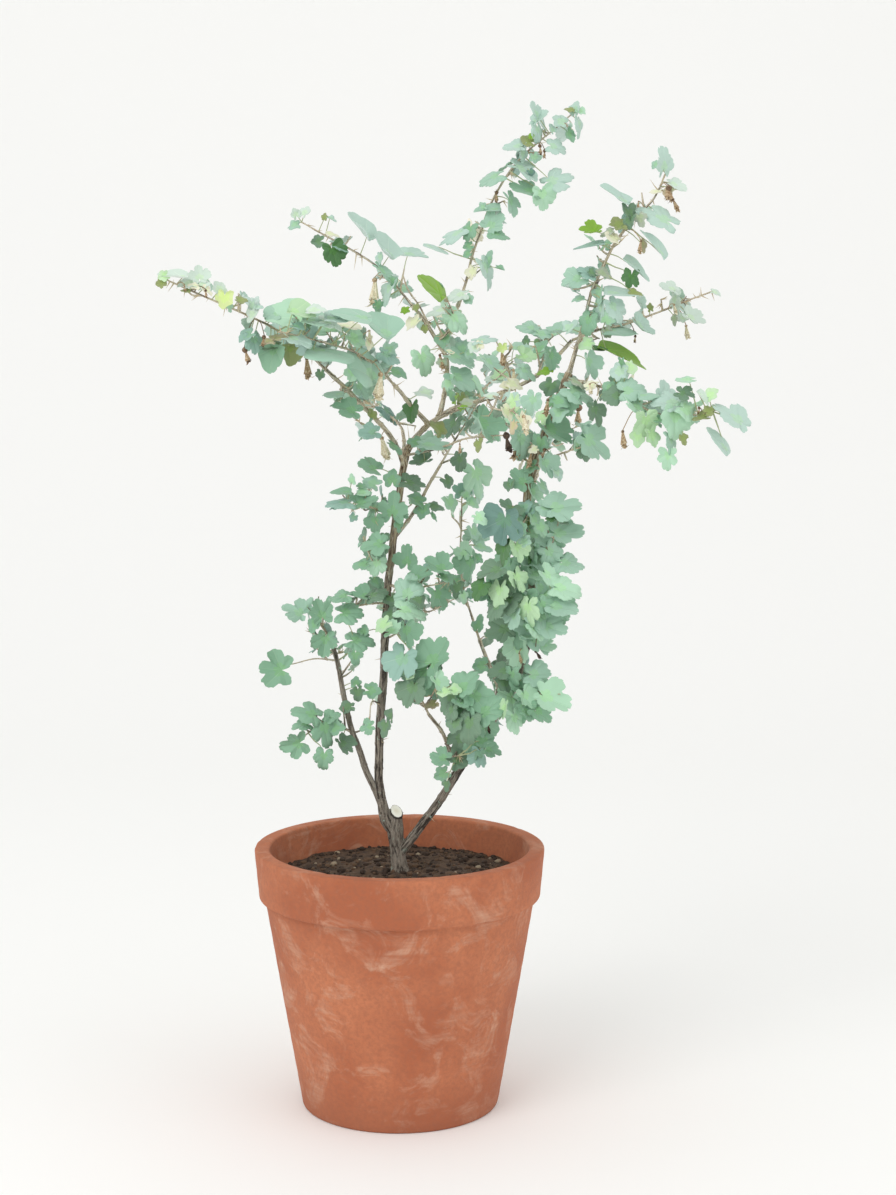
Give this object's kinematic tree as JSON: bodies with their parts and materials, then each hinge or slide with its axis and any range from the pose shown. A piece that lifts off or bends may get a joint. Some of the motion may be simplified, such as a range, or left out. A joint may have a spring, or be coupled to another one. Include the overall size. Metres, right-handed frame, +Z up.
{
  "type": "potted canyon gooseberry",
  "caption": "Sparse, open gooseberry shrub with lobed blue-green leaves on spiny arching stems, in a plain round clay pot.",
  "frame": {"origin": "middle of the pot's flat underside", "axes": "+Z up; -Y towards the viewer of the picture; +X to the viewer's right"},
  "size_m": [0.5105, 0.4786, 0.9377],
  "materials": {
    "clay": "unglazed clay, matt, a little weathered",
    "soil": "dark crumbly potting soil",
    "old_bark": "grey-brown bark with fine dark fissures",
    "young_bark": "tan to reddish young bark that peels in thin strips",
    "foliage": "matt blue-green leaves with paler veins"
  },
  "bodies": {
    "root": {"pot": "clay", "soil": "soil", "trunk": "old_bark", "main_stem": "old_bark", "left_stem": "old_bark", "left_stem_leaves": "foliage", "right_stem": "old_bark", "right_upper": "old_bark", "right_bough": "young_bark", "right_bough_leaves": "foliage", "right_crown_leaves": "foliage", "far_left": "young_bark", "far_left_leaves": "foliage", "left_inner": "young_bark", "left_inner_leaves": "foliage", "upper_left": "young_bark", "upper_left_leaves": "foliage", "top": "young_bark", "top_leaves": "foliage", "far_right": "young_bark", "far_right_leaves": "foliage", "front": "young_bark", "front_leaves": "foliage", "back": "young_bark", "back_leaves": "foliage", "back_left": "young_bark", "back_left_leaves": "foliage", "back_right": "young_bark", "back_right_leaves": "foliage", "inner": "young_bark", "inner_leaves": "foliage", "middle": "young_bark", "middle_leaves": "foliage", "low_middle": "young_bark", "low_middle_leaves": "foliage", "main_foot_shoot_leaves": "foliage", "main_low_left_leaves": "foliage", "main_middle_left_leaves": "foliage", "main_high_left_leaves": "foliage", "main_middle_right_leaves": "foliage", "low_back_leaves": "foliage", "left_low_leaves": "foliage", "left_lone_leaves": "foliage", "left_back_leaves": "foliage", "right_low_leaves": "foliage", "bend_inner_leaves": "foliage", "bend_back_leaves": "foliage", "bend_outer_leaves": "foliage", "lower_outer_leaves": "foliage", "lower_inner_leaves": "foliage", "middle_outer_leaves": "foliage", "middle_inner_leaves": "foliage", "high_outer_leaves": "foliage", "centre_low_leaves": "foliage", "centre_high_leaves": "foliage", "centre_right_leaves": "foliage", "centre_front_leaves": "foliage", "upper_middle_leaves": "foliage", "upper_back_leaves": "foliage", "far_left_low_leaves": "foliage"}
  },
  "joints": []
}
